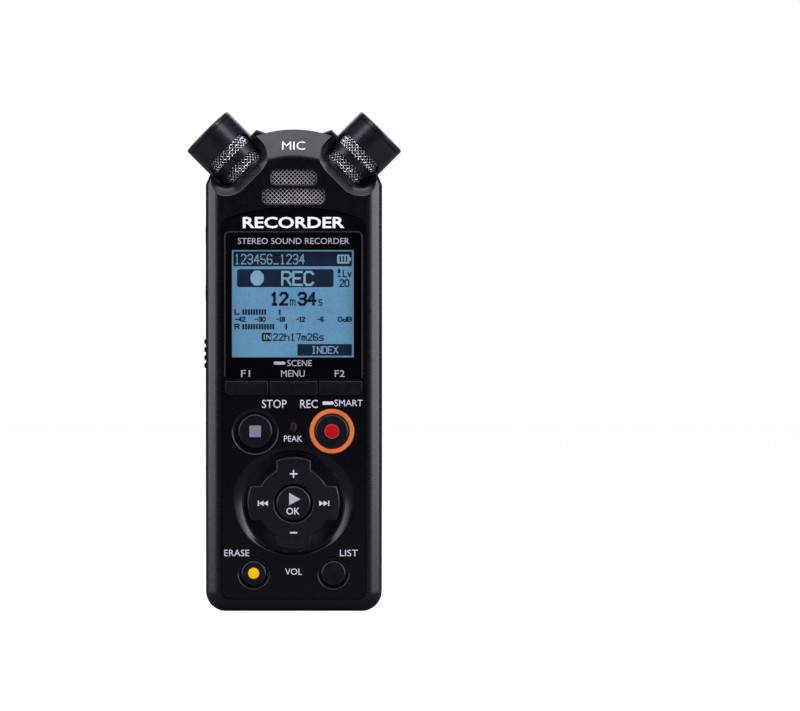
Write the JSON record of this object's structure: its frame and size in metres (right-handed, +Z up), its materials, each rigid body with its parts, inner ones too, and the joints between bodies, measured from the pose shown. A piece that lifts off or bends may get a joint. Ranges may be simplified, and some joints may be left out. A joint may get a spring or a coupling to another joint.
{
  "type": "portable field recorder",
  "caption": "Pocket sound recorder with two crossed microphone barrels on its head, a display, press keys, a rocking four-way pad, a side slider and hinged battery and port doors.",
  "frame": {"origin": "centre of the box round the whole recorder, at its flat bottom end", "axes": "+Z up along the body towards the microphones, -Y out of the display, +X to the right of somebody looking at the display"},
  "size_m": [0.0474, 0.0179, 0.1121],
  "materials": {
    "case": "satin",
    "panel": "satin",
    "lens": "gloss",
    "screen": "satin",
    "keys": "satin",
    "light_guide": "gloss",
    "board": "matte",
    "silicone": "matte",
    "steel": "satin",
    "brass": "satin",
    "cell": "satin",
    "card": "satin",
    "wire": "matte"
  },
  "bodies": {
    "recorder": {"battery_cell": "cell", "battery_plate": "steel", "battery_spring": "steel", "card_socket": "steel", "case_screw_1": "steel", "case_screw_2": "steel", "case_screw_3": "steel", "case_screw_4": "steel", "centre_mic_boot": "silicone", "centre_mic_capsule": "steel", "centre_mic_grille": "steel", "control_panel": "panel", "cover_hinge_pin": "steel", "display_lens": "lens", "door_hinge_pin": "steel", "front_case": "case", "headphone_jack": "case", "keypad_rubber": "silicone", "lcd_module": "screen", "left_mic_barrel": "case", "left_mic_cap": "case", "left_mic_capsule": "steel", "left_mic_lead": "wire", "left_mic_mesh": "steel", "left_mic_mount": "silicone", "main_board": "board", "memory_card": "card", "microphone_jack": "case", "peak_light_pipe": "light_guide", "processor_shield": "steel", "rear_case": "case", "record_light_ring": "light_guide", "right_mic_barrel": "case", "right_mic_cap": "case", "right_mic_capsule": "steel", "right_mic_lead": "wire", "right_mic_mesh": "steel", "right_mic_mount": "silicone", "slide_switch": "steel", "speaker": "steel", "strap_bar": "steel", "tripod_socket": "brass", "usb_port": "steel"},
    "f1_key": {"f1_button": "keys"},
    "menu_key": {"menu_button": "keys"},
    "f2_key": {"f2_button": "keys"},
    "stop_key": {"stop_button": "keys"},
    "record_key": {"record_button": "keys"},
    "erase_key": {"erase_button": "keys"},
    "list_key": {"list_button": "keys"},
    "ok_key": {"ok_button": "keys"},
    "pad_actuator": {"direction_pad_actuator": "silicone"},
    "pad": {"direction_pad": "keys"},
    "slider": {"power_slider": "keys"},
    "battery_door": {"battery_cover": "case"},
    "port_door": {"side_door": "case"}
  },
  "joints": [
    {"name": "f1_press", "type": "slide", "parent": "recorder", "child": "f1_key", "axis": [0, 1, 0], "range_m": [0, 0.0004], "stiffness_N_per_m": 1500},
    {"name": "menu_press", "type": "slide", "parent": "recorder", "child": "menu_key", "axis": [0, 1, 0], "range_m": [0, 0.0004], "stiffness_N_per_m": 1500},
    {"name": "f2_press", "type": "slide", "parent": "recorder", "child": "f2_key", "axis": [0, 1, 0], "range_m": [0, 0.0004], "stiffness_N_per_m": 1500},
    {"name": "stop_press", "type": "slide", "parent": "recorder", "child": "stop_key", "axis": [0, 1, 0], "range_m": [0, 0.0004], "stiffness_N_per_m": 1500},
    {"name": "record_press", "type": "slide", "parent": "recorder", "child": "record_key", "axis": [0, 1, 0], "range_m": [0, 0.0004], "stiffness_N_per_m": 1500},
    {"name": "erase_press", "type": "slide", "parent": "recorder", "child": "erase_key", "axis": [0, 1, 0], "range_m": [0, 0.0004], "stiffness_N_per_m": 1500},
    {"name": "list_press", "type": "slide", "parent": "recorder", "child": "list_key", "axis": [0, 1, 0], "range_m": [0, 0.0004], "stiffness_N_per_m": 1500},
    {"name": "ok_press", "type": "slide", "parent": "recorder", "child": "ok_key", "axis": [0, 1, 0], "range_m": [0, 0.0004], "stiffness_N_per_m": 1500},
    {"name": "pad_up_down", "type": "hinge", "parent": "recorder", "child": "pad_actuator", "pos_m": [0, -0.007, 0.0243], "axis": [1, 0, 0], "range_deg": [-2.5, 2.5], "stiffness_Nm_per_rad": 0.3},
    {"name": "pad_left_right", "type": "hinge", "parent": "pad_actuator", "child": "pad", "pos_m": [0, -0.007, 0.0243], "axis": [0, 0, 1], "range_deg": [-2.5, 2.5], "stiffness_Nm_per_rad": 0.3},
    {"name": "power_slide", "type": "slide", "parent": "recorder", "child": "slider", "axis": [0, 0, 1], "range_m": [-0.0018, 0.0018]},
    {"name": "battery_door_hinge", "type": "hinge", "parent": "recorder", "child": "battery_door", "pos_m": [0, 0.00795, 0.0067], "axis": [-1, 0, 0], "range_deg": [0, 90]},
    {"name": "port_door_hinge", "type": "hinge", "parent": "recorder", "child": "port_door", "pos_m": [0.01905, 0.0006, 0.074], "axis": [0, 0, 1], "range_deg": [0, 90]}
  ]
}
